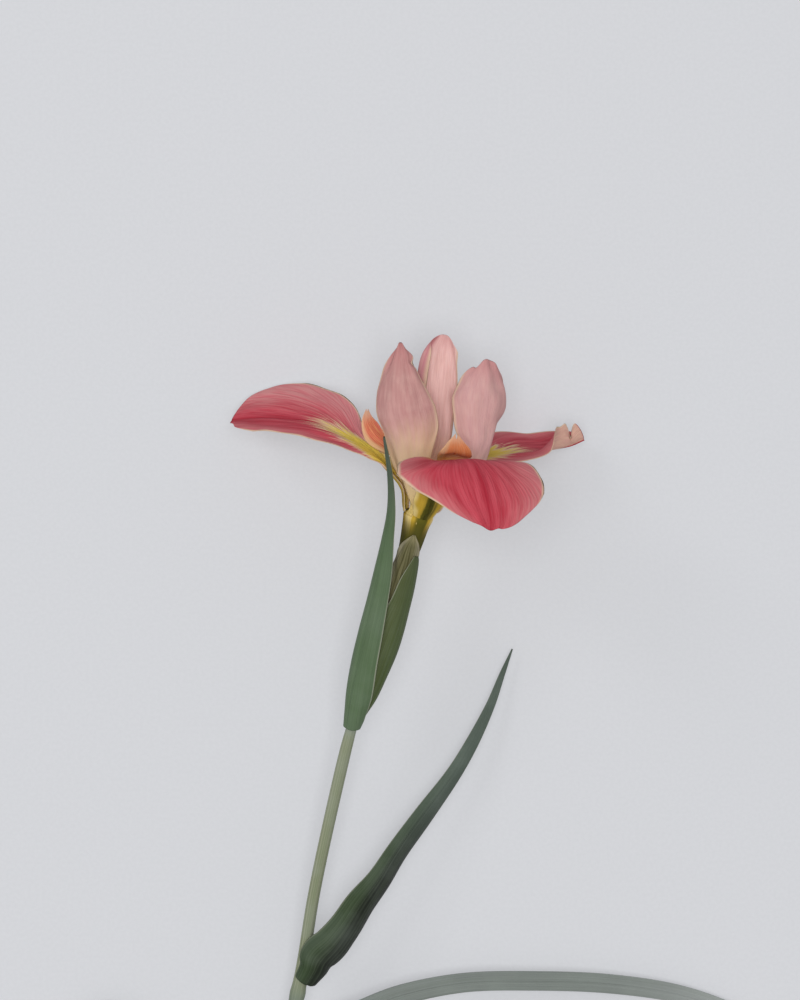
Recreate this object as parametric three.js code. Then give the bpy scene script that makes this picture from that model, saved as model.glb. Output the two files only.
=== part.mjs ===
// A cut iris, lying on a table with its flower, two flower sheaths, a stem leaf and two lower leaves.
// Millimetres, +Z up. X runs across the stem and Y along it towards the flower. The working origin lies on
// the table under the heart of the flower, and the finished group is moved so that its own origin is the
// middle of the footprint of its box. Petals, sheaths and leaves are all blades: ribs set across a midrib,
// with a smooth skin through them, closed by a second skin underneath.
import * as THREE from "three";

const HEART_HEIGHT = 38; // middle of the flower above the table
const STEM_RADIUS = 2.0; // a little more below the stem leaf, a little less under the flower
const CUT_END = [-54, -245]; // where the stem was cut, X and Y
const PETAL = 0.7; // thickness of a petal
const LEAF = 0.8; // thickness of a leaf or a sheath
const SIDES = 12; // sides of a round section

const v3 = (p) => new THREE.Vector3(...p);
const radians = THREE.MathUtils.degToRad;
const smooth = (x) => THREE.MathUtils.smoothstep(x, 0, 1);

// ---- closed bodies ------------------------------------------------------------------------------

function body(points, faces) {
  const geometry = new THREE.BufferGeometry();
  geometry.setAttribute("position", new THREE.Float32BufferAttribute(points.flatMap((p) => p.toArray()), 3));
  geometry.setIndex(faces.flat());
  geometry.computeVertexNormals();
  return geometry;
}

// A smooth curve through the same field of every rib.
const through = (ribs, read) =>
  new THREE.CatmullRomCurve3(ribs.map((rib) => v3(read(rib))), false, "catmullrom", 0.5);
const pair = (value = 0) => (Array.isArray(value) ? [...value, 0] : [value, value, 0]);

// One rib of a blade: its place on the midrib, the way the inner face looks there, the half widths to the
// left and right of the midrib, how far each half folds up as a straight line (fold), as an arc (curl) and at
// its margin only (roll), in degrees.
const rib = (at, face, half, fold, curl, roll) => ({ at, face, half, fold, curl, roll });

// The skin of a blade at u along it (0 base, 1 tip) and v across it (-1 left margin, 1 right margin).
function skin({ ribs, round = 0, notch = 0, rollFrom = 0.5 }) {
  const at = through(ribs, (r) => r.at);
  const face = through(ribs, (r) => r.face);
  const half = through(ribs, (r) => pair(r.half));
  const fold = through(ribs, (r) => pair(r.fold));
  const curl = through(ribs, (r) => pair(r.curl));
  const roll = through(ribs, (r) => pair(r.roll));
  const steps = 10;
  return (u, v) => {
    const trim = round * (1 - Math.sqrt(1 - v * v)) + notch * Math.exp(-((v / 0.16) ** 2));
    const t = u * (1 - trim);
    const side = v < 0 ? "x" : "y";
    const along = at.getTangent(Math.min(Math.max(t, 1e-4), 1 - 1e-4));
    const across = face.getPoint(t).cross(along).normalize();
    const up = along.clone().cross(across);
    const width = half.getPoint(t)[side] * Math.abs(v);
    const angleAt = (a) =>
      radians(fold.getPoint(t)[side] + curl.getPoint(t)[side] * a) +
      radians(roll.getPoint(t)[side]) * smooth((a - rollFrom) / (1 - rollFrom));
    let out = 0;
    let rise = 0;
    for (let k = 0; k < steps; k += 1) {
      const angle = angleAt((Math.abs(v) * (k + 0.5)) / steps);
      out += (Math.cos(angle) * width) / steps;
      rise += (Math.sin(angle) * width) / steps;
    }
    const way = Math.sign(v) || 1;
    const tilt = angleAt(Math.abs(v));
    const point = at.getPoint(t).addScaledVector(across, way * out).addScaledVector(up, rise);
    const normal = up.multiplyScalar(Math.cos(tilt)).addScaledVector(across, -way * Math.sin(tilt));
    return { point, normal };
  };
}

// A closed blade: two skins that meet all round the outline, thickest inside it.
function blade(form, { thickness = PETAL, rows = 20, columns = 10 } = {}) {
  const place = skin(form);
  const points = [];
  const index = { top: [], bottom: [] };
  for (let i = 0; i <= rows; i += 1) {
    for (let j = 0; j <= columns; j += 1) {
      const u = i / rows;
      const v = (2 * j) / columns - 1;
      const { point, normal } = place(u, v);
      const rim = i === 0 || i === rows || j === 0 || j === columns;
      const half = rim ? 0 : thickness / 2;
      index.top.push(points.length);
      points.push(point.clone().addScaledVector(normal, half));
      index.bottom.push(rim ? points.length - 1 : points.length);
      if (!rim) points.push(point.clone().addScaledVector(normal, -half));
    }
  }
  const faces = [];
  for (let i = 0; i < rows; i += 1) {
    for (let j = 0; j < columns; j += 1) {
      const a = i * (columns + 1) + j;
      const [b, c, d] = [a + 1, a + columns + 1, a + columns + 2];
      const { top, bottom } = index;
      faces.push([top[a], top[d], top[b]], [top[a], top[c], top[d]]);
      faces.push([bottom[a], bottom[b], bottom[d]], [bottom[a], bottom[d], bottom[c]]);
    }
  }
  return body(points, faces);
}

// A closed round rod through [x, y, z, radius] places.
function rod(places, { rows = 4 * places.length, sides = SIDES } = {}) {
  const line = through(places, (p) => p.slice(0, 3));
  const radius = through(places, (p) => [p[3], 0, 0]);
  const points = [];
  for (let i = 0; i <= rows; i += 1) {
    const t = i / rows;
    const along = line.getTangent(Math.min(Math.max(t, 1e-4), 1 - 1e-4));
    const across = new THREE.Vector3(0, 0, 1).cross(along).normalize();
    const up = along.clone().cross(across);
    for (let j = 0; j < sides; j += 1) {
      const turn = (2 * Math.PI * j) / sides;
      const r = radius.getPoint(t).x;
      const point = line.getPoint(t).addScaledVector(across, r * Math.cos(turn));
      points.push(point.addScaledVector(up, r * Math.sin(turn)));
    }
  }
  const faces = [];
  for (let i = 0; i < rows; i += 1) {
    for (let j = 0; j < sides; j += 1) {
      const a = i * sides + j;
      const b = i * sides + ((j + 1) % sides);
      faces.push([a, b, b + sides], [a, b + sides, a + sides]);
    }
  }
  const last = rows * sides;
  for (let j = 1; j < sides - 1; j += 1) {
    faces.push([0, j + 1, j], [last, last + j, last + j + 1]);
  }
  return body(points, faces);
}

// ---- stem ---------------------------------------------------------------------------------------

// Height of the stem's centre above the table: from resting on its cut end up to the heart of the flower.
const stemHeight = (y) => THREE.MathUtils.mapLinear(y, CUT_END[1], 0, STEM_RADIUS + 0.3, HEART_HEIGHT);
const stemPlace = (x, y, radius) => [x, y, stemHeight(y), radius];

const STEM = [
  stemPlace(...CUT_END, STEM_RADIUS + 0.2),
  stemPlace(-46, -203, STEM_RADIUS + 0.15),
  stemPlace(-36.9, -162, STEM_RADIUS + 0.2),
  stemPlace(-34.7, -150, STEM_RADIUS - 0.1),
  stemPlace(-31.7, -131, STEM_RADIUS - 0.2),
  stemPlace(-28, -112.8, STEM_RADIUS - 0.2),
  stemPlace(-22.6, -89, STEM_RADIUS - 0.2),
  stemPlace(-19.7, -77.6, STEM_RADIUS - 0.4),
];

// ---- flower -------------------------------------------------------------------------------------

// The collar is the ring at the top of the tube where the six petals start, 60 degrees or so apart.
const COLLAR = [0.1, -14.6, HEART_HEIGHT - 1.4];
const COLLAR_RADIUS = 5.2;
const AXIS = v3([0.26, 0.93, 0.24]).normalize(); // the way the flower looks, a little up from the table
const ACROSS = new THREE.Vector3(0, 0, 1).cross(AXIS).normalize().negate(); // to the right
const UPWARD = ACROSS.clone().cross(AXIS).normalize(); // away from the table

// A rib on the collar at an angle from the right hand side, counted upwards, that wraps the given arc to each
// side. It can be on a wider ring (flare) further along the flower's axis (rise).
function collarRib(angle, arc, rise = 0, flare = 0) {
  const outward = ACROSS.clone().multiplyScalar(Math.cos(radians(angle)));
  outward.addScaledVector(UPWARD, Math.sin(radians(angle)));
  const radius = COLLAR_RADIUS + flare;
  const at = v3(COLLAR).addScaledVector(AXIS, rise).addScaledVector(outward, radius);
  return rib(at.toArray(), outward.negate().toArray(), radians(arc) * radius, 0, arc);
}

const TUBE = [
  [-18.6, -76, 27.0, 1.1],
  [-15.6, -65, 28.9, 2.0],
  [-12.0, -53, 30.6, 2.3],
  [-8.2, -41, 32.4, 2.1],
  [-4.8, -31.5, 34.0, 2.5],
  [-2.4, -24, 35.2, 3.2],
  [-0.8, -17.9, 35.8, 3.9],
  [0, -15.1, 36.5, 4.5],
];

const FALL_LEFT = {
  round: 0.2,
  ribs: [
    collarRib(190, 36, 0, -0.7),
    collarRib(190, 36, 1.4, -0.2),
    collarRib(188, 34, 6, 1.6),
    rib([-8.6, -1.6, 36.4], [0.7, 0.6, 0.34], 3.6, 10, 20),
    rib([-12.6, 3.2, 35.6], [0.45, 0.8, 0.38], [3.6, 4.2], [8, 0]),
    rib([-19, 7.6, 33], [0.1, 0.9, 0.42], [5.4, 8], [8, 0]),
    rib([-29, 12.2, 26], [0, 0.9, 0.42], [14.4, 12.4], [14, 8], [-2, -4]),
    rib([-40, 14, 18.6], [-0.05, 0.9, 0.42], [19, 15.5], [18, 12], [-12, -6]),
    rib([-50, 14.4, 13.8], [-0.15, 0.9, 0.4], [18.4, 15.5], [18, 18], [-16, -6]),
    rib([-56.6, 13.8, 11.8], [-0.2, 0.88, 0.4], [14, 12], [14, 18], [-10, -4]),
  ],
};

const FALL_FRONT = {
  round: 0.2,
  ribs: [
    collarRib(66, 44, 0, -0.7),
    collarRib(66, 46, 2, 0.2),
    collarRib(67, 46, 5, 1.4),
    collarRib(70, 42, 8.8, 1.9),
    rib([4.4, -4, 46.6], [-0.1, 0.9, -0.4], 4.4, 0, 36),
    rib([7, 0.4, 52.4], [0, 0.97, -0.2], 4.2, 0, 16),
    rib([11, 1.2, 60], [0, 1, 0], [19.2, 11.5], [-2, -4], [0, -6]),
    rib([15.4, 0.8, 67.4], [0.04, 0.92, 0.38], [24.4, 18], [0, -6], [0, -8]),
    rib([18, -4, 73], [0.06, 0.72, 0.68], [20, 19.5], [-2, -8], [0, -10]),
    rib([19.6, -10.4, 76.4], [0.05, 0.5, 0.86], [12.6, 17.6], [0, -6], [0, -12]),
    rib([20.6, -16.2, 78.2], [0, 0.35, 0.93], [6, 11.4], [4, -4], [0, -10]),
    rib([20.6, -19, 78.8], [0, 0.3, 0.95], [3, 6], [6, -2]),
  ],
};

const FALL_RIGHT = {
  round: 0.05,
  ribs: [
    collarRib(-50, 38, 0, -0.7),
    collarRib(-50, 38, 1.4, -0.2),
    collarRib(-48, 36, 5, 1.8),
    rib([9.4, -1.2, 31], [-0.3, 0.9, 0.2], 3.6, 8, 10),
    rib([17, 2.4, 27], [0, 0.92, 0.38], [6, 6.5], [8, 0]),
    rib([26, 4, 22], [0, 0.92, 0.38], [10, 16], [2, 0]),
    rib([33.4, 4.8, 16], [0, 0.93, 0.38], [12.6, 18.5], [12, 0], [20, 0]),
    rib([40, 5, 12.6], [0.05, 0.93, 0.36], [9.6, 14.5], [42, 0], [56, 0]),
    rib([46, 6, 10.2], [0.05, 0.92, 0.38], [5.2, 9], [70, 10], [20, 4]),
    rib([50.8, 8, 8.8], [0, 0.92, 0.4], [5.6, 3.4], [80, 30]),
  ],
};

const STANDARD_LEFT = {
  round: 0.1,
  ribs: [
    collarRib(131, 15, 0, -0.7),
    collarRib(129, 21, 2.4, -1.5),
    collarRib(128, 40, 6, 0),
    rib([-2.6, 0.4, 43.6], [0.3, 0.05, -0.95], [7.6, 6.4], 10, 36),
    rib([-4, 9, 46.6], [0.3, 0, -0.95], [9.4, 11], 8, [42, 54]),
    rib([-5.4, 16, 47.8], [0.3, -0.1, -0.95], [11, 11.6], 8, [50, 58]),
    rib([-5.8, 23, 47.2], [0.3, -0.2, -0.95], [10.8, 9.4], 8, 56),
    rib([-5.6, 29.6, 45.6], [0.3, -0.3, -0.95], [7.4, 5.6], 8, 50),
    rib([-5.4, 36.6, 43], [0.3, -0.35, -0.95], 1.2, 8, 30),
  ],
};

const STANDARD_RIGHT = {
  round: 0.14,
  ribs: [
    collarRib(3, 20, 1.6, -1.2),
    collarRib(3, 11, 7, 2.2),
    rib([16, -1, 40.4], [-0.5, 0.2, -0.85], 3.6, 6, 30),
    rib([19, 6, 41.8], [-0.5, 0, -0.86], [7.2, 6], 8, 46),
    rib([19.6, 13, 42.6], [-0.44, -0.05, -0.9], [10, 9], 8, 56),
    rib([20.6, 20, 42.4], [-0.4, -0.15, -0.9], [11.6, 11.4], 8, 58),
    rib([20.8, 26, 41.2], [-0.36, -0.25, -0.9], [9, 8.4], 8, 54),
    rib([21, 31.6, 39.6], [-0.3, -0.3, -0.9], [4.6, 4.6], 8, 40),
  ],
};

const STANDARD_BACK = {
  round: 0.16,
  rollFrom: 0.35,
  ribs: [
    collarRib(250, 14, 0, -0.7),
    collarRib(250, 30, 2.4, -1.5),
    collarRib(254, 30, 6, 0),
    rib([4.8, 4, 29.4], [0, -0.2, 1], 4.6, 8, 30, [10, 0]),
    rib([6.2, 12, 29.6], [0, -0.05, 1], [6, 9.4], 8, [40, 44], [30, 20]),
    rib([6.2, 21, 30.4], [0, 0, 1], [7, 12.6], 8, [40, 26], [30, 130]),
    rib([6.8, 29, 31.4], [0, 0.08, 1], [7.2, 12.4], 8, [40, 26], [30, 144]),
    rib([7.4, 35, 32.4], [0, 0.14, 1], [5.6, 8.8], 8, [30, 22], [20, 124]),
    rib([8.2, 39.2, 33.4], [0, 0.2, 1], [3, 3.2], 8, 20),
  ],
};

const STYLE_LEFT = {
  round: 0.5,
  notch: 0.06,
  ribs: [
    rib([1.2, -6, 37], [0.5, 0.8, 0.2], 1.4, -4, -30),
    rib([-3.4, 1, 37.2], [0.6, 0.75, 0], 2, -4, -26),
    rib([-8.8, 5.8, 37.4], [0.6, 0.6, -0.5], 3.6, -4, -14),
    rib([-13, 9.8, 36.6], [0.5, 0.4, -0.8], 4, -4, -14),
    rib([-15, 13.6, 35.4], [0.4, 0.3, -0.85], 2.6, -4, -10),
    rib([-15.2, 17.4, 34.8], [0.3, 0.1, -0.95], 0.9),
  ],
};

const STYLE_FRONT = {
  round: 0.4,
  notch: 0.12,
  ribs: [
    rib([3.2, -6, 39.4], [-0.3, 0.9, -0.4], 1.4, -4, -30),
    rib([7, 1.4, 45], [-0.2, 0.85, -0.5], 2.4, -4, -30),
    rib([9.6, 3.2, 51.2], [0, 0.98, -0.2], 4.4, -4, -22),
    rib([10.8, 3.8, 56.4], [0, 0.8, -0.6], 5, -4, -10),
    rib([11, 6.4, 59], [0, 0.4, -0.9], 3.2, -4, -4),
    rib([11.2, 9.6, 60], [0, 0.2, -0.95], 0.8),
  ],
};

const STYLE_RIGHT = {
  round: 0.2,
  notch: 0.2,
  ribs: [
    rib([4, -5, 36], [-0.3, 0.9, 0.3], 1.4, -4, -30),
    rib([8.4, 2.2, 35], [-0.4, 0.85, 0.3], 2.2, -4, -30),
    rib([14, 5.6, 32.4], [-0.3, 0.9, 0.2], 3, -4, -20),
    rib([18.4, 8, 30], [-0.7, 0.6, 0.3], 4, -4, -16),
    rib([20.8, 11.6, 28.6], [-0.8, 0.3, 0.5], 3.6, -4, -10),
    rib([21.8, 15.6, 28], [-0.8, 0.1, 0.6], 1.8),
  ],
};

// A stamen: a thin filament that ends in a longer, fatter anther, under its style arm.
const stamen = (foot, knee, tip) => {
  const [a, b, c] = [foot, knee, tip].map(v3);
  const neck = b.clone().lerp(c, 0.2);
  return [
    [...a.toArray(), 0.4],
    [...a.clone().lerp(b, 0.6).toArray(), 0.35],
    [...b.toArray(), 0.35],
    [...neck.toArray(), 0.7],
    [...b.clone().lerp(c, 0.8).toArray(), 0.75],
    [...c.toArray(), 0.3],
  ];
};

const STAMEN_LEFT = stamen([-1, -8, 36.4], [-5, -1.6, 36], [-10.2, 3.4, 35.3]);
const STAMEN_FRONT = stamen([2.2, -8, 39.4], [5.6, -0.9, 45.8], [8.3, 1.4, 51]);
const STAMEN_RIGHT = stamen([3.4, -8, 34.6], [9, 0.6, 32.8], [17.2, 4.8, 28.6]);

// ---- sheaths and leaves -------------------------------------------------------------------------

// A rib that wraps round a centre. Its midrib is turned from straight up, to the right where positive, and its
// arcs reach that far down on the left and on the right of the midrib, all in degrees.
function wrapRib(centre, radius, turn, arcs) {
  const outward = v3([Math.sin(radians(turn)), 0, Math.cos(radians(turn))]);
  const at = v3(centre).addScaledVector(outward, radius);
  return rib(at.toArray(), outward.negate().toArray(), arcs.map((arc) => radians(arc) * radius), 0, arcs);
}

const OUTER_SPATHE = {
  ribs: [
    wrapRib([-19.9, -78.8, 26.6], 2.35, -45, [150, 150]),
    wrapRib([-18.7, -75, 27.6], 3.2, -45, [140, 108]),
    wrapRib([-16.4, -68, 29.1], 4.8, -45, [130, 80]),
    wrapRib([-13.9, -58.5, 30.8], 5.7, -45, [125, 63]),
    wrapRib([-11.9, -49, 32.2], 5.5, -45, [122, 61]),
    wrapRib([-10.1, -40, 33.7], 4.8, -45, [120, 60]),
    wrapRib([-8.7, -31, 35.8], 3.9, -45, [110, 61]),
    wrapRib([-7.8, -22, 38.4], 2.75, -45, [95, 58]),
    wrapRib([-6.9, -13, 40.8], 2.2, -45, [80, 50]),
    wrapRib([-7.5, -3, 42.8], 1.6, -45, [60, 45]),
    wrapRib([-9.8, 8.6, 44.6], 0.5, -45, [40, 40]),
  ],
};

const INNER_SPATHE = {
  ribs: [
    wrapRib([-18.4, -75.4, 27.2], 1.95, 45, [120, 120]),
    wrapRib([-15.1, -68, 28.7], 3.3, 45, [100, 120]),
    wrapRib([-12.2, -58.5, 30.1], 4.6, 45, [95, 120]),
    wrapRib([-9.4, -49, 31.4], 5, 45, [85, 120]),
    wrapRib([-7, -40.6, 32.8], 4.8, 45, [60, 116]),
    wrapRib([-5, -33.6, 34.2], 4.2, 45, [46, 100]),
    wrapRib([-2.9, -27, 36], 3.2, 45, [12, 24]),
  ],
};

const PAPERY_BRACT = {
  ribs: [
    wrapRib([-7.9, -43, 32.2], 2.9, 0, [70, 80]),
    wrapRib([-5.9, -35.4, 33.5], 3.05, 0, [76, 70]),
    wrapRib([-4, -29.2, 34.5], 3.3, 0, [76, 72]),
    wrapRib([-2.7, -24.4, 35.4], 3.8, 0, [44, 58]),
    wrapRib([-1.6, -20.6, 36], 4.2, 6, [4, 6]),
  ],
};

// The foot of a leaf wraps the stem there; it is set on the side of the stem that the leaf leaves from.
function sheathRib(x, y, radius, toStem, curl) {
  const centre = v3([x, y, stemHeight(y)]);
  const at = centre.addScaledVector(v3(toStem).normalize(), -radius);
  return rib(at.toArray(), toStem, radians(curl) * radius, 0, curl);
}

const STEM_LEAF = {
  ribs: [
    wrapRib([-35, -157.2, 15.2], 3.4, 30, [96, 140]),
    wrapRib([-32.7, -153.2, 15.8], 4.6, 24, [82, 130]),
    rib([-28.8, -149.4, 21.4], [-0.3, 0, -0.95], [8.2, 8.2], 0, [64, 96]),
    rib([-24.8, -144.8, 22.6], [-0.3, 0.1, -0.95], [7.2, 8.4], 0, [40, 90]),
    rib([-21, -139.4, 21.2], [-0.3, 0.2, -0.93], [6.2, 8.4], 0, [34, 84]),
    rib([-16.8, -132.4, 20], [-0.35, 0.2, -0.9], [5.4, 8.2], 0, [32, 76]),
    rib([-11.6, -125, 18.4], [-0.35, 0.2, -0.9], [4, 7.2], 0, [30, 66]),
    rib([-6, -116.3, 16.4], [-0.35, 0.2, -0.9], [3.4, 5.8], 0, [30, 56]),
    rib([1.7, -105.8, 14], [-0.3, 0.15, -0.93], [3, 4.6], 4, [24, 40]),
    rib([10.8, -93.8, 11.4], [-0.3, 0.1, -0.95], [2.5, 3], 8, [12, 24]),
    rib([17, -83.3, 9], [-0.3, 0.1, -0.95], [2, 2.3], 10),
    rib([22.2, -72.8, 6.6], [-0.25, 0.1, -0.95], [1.4, 1.6], 10),
    rib([25.8, -63.7, 4.8], [-0.2, 0.1, -0.95], 0.95, 10),
    rib([29, -55.8, 3.2], [-0.2, 0.1, -0.95], 0.25, 8),
  ],
};

const LOWER_LEAF_RIGHT = {
  ribs: [
    sheathRib(-41.8, -184, STEM_RADIUS + 1.3, [-0.8, 0.1, -0.5], 155),
    sheathRib(-40.4, -178, STEM_RADIUS + 1.8, [-0.95, 0.2, -0.1], 132),
    rib([-30.6, -171.6, 12], [-0.5, 0.6, 0.6], 5, 0, 70),
    rib([-20, -167, 11], [-0.2, 0.3, 0.9], 3.6, 8, 20),
    rib([-5, -161, 9.6], [0, 0.15, 1], 3.2, 8),
    rib([14, -157.4, 8.2], [0, 0.1, 1], 3, 8),
    rib([35, -157, 6.6], [0, 0.05, 1], 3, 8),
    rib([58, -158, 5], [0, 0, 1], 3, 8),
    rib([80, -161.4, 3.4], [0, 0, 1], 2.8, 8),
    rib([99, -168, 2.2], [0, 0, 1], 2.2, 8),
    rib([114, -177.4, 1.4], [0, 0, 1], 1.2, 8),
    rib([121, -183.4, 1.2], [0, 0, 1], 0.4, 8),
  ],
};

const LOWER_LEAF_LEFT = {
  ribs: [
    sheathRib(-48.6, -216, STEM_RADIUS + 1.6, [0.8, 0.1, -0.5], 155),
    sheathRib(-47.4, -210.5, STEM_RADIUS + 3.0, [0.95, 0.2, -0.1], 104),
    rib([-54.6, -201, 8], [0.5, 0.6, 0.6], 5, 0, 70),
    rib([-66, -188, 6.6], [0.2, 0.2, 0.95], 3.5, 8, 20),
    rib([-79, -174.4, 5.4], [0, 0.1, 1], 3, 8),
    rib([-93, -167, 4.2], [0, 0, 1], 2.8, 8),
    rib([-104.4, -171.6, 3], [0, 0, 1], 2.6, 8),
    rib([-111.6, -187, 1.8], [0, 0, 1], 1.9, 8),
    rib([-116, -207, 1.2], [0, 0, 1], 0.4, 8),
  ],
};

// ---- the flower as a group of pieces ------------------------------------------------------------

const LOOKS = {
  fall: { color: 0xa93b45, roughness: 0.6 },
  standard: { color: 0xc59a91, roughness: 0.6 },
  style: { color: 0xbb7f4e, roughness: 0.55 },
  stamen: { color: 0xcbb88a, roughness: 0.7 },
  tube: { color: 0x8a7a32, roughness: 0.6 },
  stem: { color: 0x868a75, roughness: 0.55 },
  leaf: { color: 0x4b544d, roughness: 0.5 },
  paleLeaf: { color: 0x848887, roughness: 0.5 },
  spathe: { color: 0x506346, roughness: 0.5 },
  paper: { color: 0x9a9068, roughness: 0.7 },
};

const iris = new THREE.Group();

function add(name, geometry, look) {
  const mesh = new THREE.Mesh(geometry, new THREE.MeshStandardMaterial({ ...look, metalness: 0 }));
  mesh.name = name;
  iris.add(mesh);
}

const narrow = { rows: 24, columns: 10, thickness: LEAF };
const small = { rows: 12, columns: 8 };
const filament = { rows: 15, sides: 8 };

add("stem", rod(STEM, { rows: 30 }), LOOKS.stem);
add("stem_leaf", blade(STEM_LEAF, { ...narrow, rows: 30 }), LOOKS.leaf);
add("lower_leaf_right", blade(LOWER_LEAF_RIGHT, { ...narrow, rows: 30 }), LOOKS.paleLeaf);
add("lower_leaf_left", blade(LOWER_LEAF_LEFT, narrow), LOOKS.leaf);
add("outer_spathe", blade(OUTER_SPATHE, narrow), LOOKS.spathe);
add("inner_spathe", blade(INNER_SPATHE, narrow), LOOKS.spathe);
add("papery_bract", blade(PAPERY_BRACT, { ...narrow, rows: 10, thickness: 0.4 }), LOOKS.paper);
add("perianth_tube", rod(TUBE, { rows: 21 }), LOOKS.tube);
add("fall_left", blade(FALL_LEFT), LOOKS.fall);
add("fall_front", blade(FALL_FRONT), LOOKS.fall);
add("fall_right", blade(FALL_RIGHT, { rows: 24, columns: 12 }), LOOKS.fall);
add("standard_left", blade(STANDARD_LEFT), LOOKS.standard);
add("standard_back", blade(STANDARD_BACK, { columns: 14 }), LOOKS.standard);
add("standard_right", blade(STANDARD_RIGHT), LOOKS.standard);
add("style_arm_left", blade(STYLE_LEFT, small), LOOKS.style);
add("style_arm_front", blade(STYLE_FRONT, small), LOOKS.style);
add("style_arm_right", blade(STYLE_RIGHT, small), LOOKS.style);
add("stamen_left", rod(STAMEN_LEFT, filament), LOOKS.stamen);
add("stamen_front", rod(STAMEN_FRONT, filament), LOOKS.stamen);
add("stamen_right", rod(STAMEN_RIGHT, filament), LOOKS.stamen);

// The finished part stands on the middle of the footprint of its box.
const box = new THREE.Box3().setFromObject(iris);
const middle = box.getCenter(new THREE.Vector3());
iris.position.set(-middle.x, -middle.y, -box.min.z);
const part = new THREE.Group().add(iris);

export default part;
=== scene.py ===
import math

import bpy
import numpy as np
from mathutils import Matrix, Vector


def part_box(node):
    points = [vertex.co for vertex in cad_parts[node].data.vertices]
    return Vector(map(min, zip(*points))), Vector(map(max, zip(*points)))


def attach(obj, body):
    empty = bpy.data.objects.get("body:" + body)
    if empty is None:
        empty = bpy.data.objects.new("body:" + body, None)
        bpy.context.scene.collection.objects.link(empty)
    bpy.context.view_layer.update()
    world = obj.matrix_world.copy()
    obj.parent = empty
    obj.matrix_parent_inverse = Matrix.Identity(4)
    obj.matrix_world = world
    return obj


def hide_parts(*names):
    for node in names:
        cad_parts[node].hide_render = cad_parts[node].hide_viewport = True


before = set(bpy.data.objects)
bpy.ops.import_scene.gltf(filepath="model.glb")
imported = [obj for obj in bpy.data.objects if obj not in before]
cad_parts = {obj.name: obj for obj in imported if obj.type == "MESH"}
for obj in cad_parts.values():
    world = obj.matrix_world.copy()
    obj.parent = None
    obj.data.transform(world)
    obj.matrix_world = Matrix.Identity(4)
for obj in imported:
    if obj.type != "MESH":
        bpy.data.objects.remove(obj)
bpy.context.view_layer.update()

MILLIMETRE = 0.001

HEART_HEIGHT = 38.0
STEM_RADIUS = 2.0
CUT_END = (-54.0, -245.0)
PETAL = 0.5  # thickness of a petal near its foot, on the midrib
LEAF = 0.7  # the same for a leaf, a sheath and the bract
MARGIN_SHARE = 0.35  # how much of that thickness is left beside the margin
TIP_SHARE = 0.45  # and at the tip
ROLL_FROM = 0.5  # how far out a margin starts to roll, unless a blade says otherwise
SLOPE_STEPS = 10  # straight steps that a curled half is laid out in, from the midrib outwards

# Veins fan out from a pivot on the midrib. An angle from the pivot says which vein a point is on.
VEIN_SPREAD = 0.9
VEIN_REACH = 2.2
VEIN_START = 0.02  # how far past the pivot the fan starts

VIEW_CENTRE = (-5.4, -10.2, 28.0)  # what the camera looks straight down at
VIEW_HEIGHT = 300.0  # how much of the table's length fits the picture there
CAMERA_DISTANCE = 1200.0


# ---- curves --------------------------------------------------------------------------------------

def smooth(x):
    """x eased from 0 to 1."""
    x = np.clip(x, 0.0, 1.0)
    return x * x * (3.0 - 2.0 * x)


def bell(x, middle, spread):
    """1 at the middle, falling to nothing on both sides."""
    return np.exp(-(((x - middle) / spread) ** 2))


def unit(vectors):
    return vectors / np.maximum(np.linalg.norm(vectors, axis=-1, keepdims=True), 1e-9)


def through(values, t):
    """A smooth curve through equally spaced values, read at t from 0 to 1."""
    values = np.asarray(values, float)
    last = len(values) - 1
    place = np.clip(t, 0.0, 1.0) * last
    index = np.minimum(place.astype(int), last - 1)
    w = (place - index)[..., None]
    padded = np.vstack([2 * values[0] - values[1], values, 2 * values[-1] - values[-2]])
    a, b, c, d = (padded[index + k] for k in range(4))
    start, end = (c - a) / 2, (d - b) / 2
    return b + start * w + (3 * (c - b) - 2 * start - end) * w**2 + (2 * (b - c) + start + end) * w**3


def direction(values, t):
    """The way the curve through the values runs at t."""
    step = 1e-4
    t = np.clip(t, step, 1.0 - step)
    return unit(through(values, t + step) - through(values, t - step))


# ---- blades: petals, sheaths and leaves ----------------------------------------------------------

def rib(at, face, half, fold=0, curl=0, roll=0):
    """One rib across a midrib: its place, the way its inner face looks, its half widths to the
    left and right, and how far each half folds up, curls up and rolls up at its margin, in
    degrees."""
    values = (half, fold, curl, roll)
    both = [value if isinstance(value, (list, tuple)) else (value, value) for value in values]
    return (at, face, *both)


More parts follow.
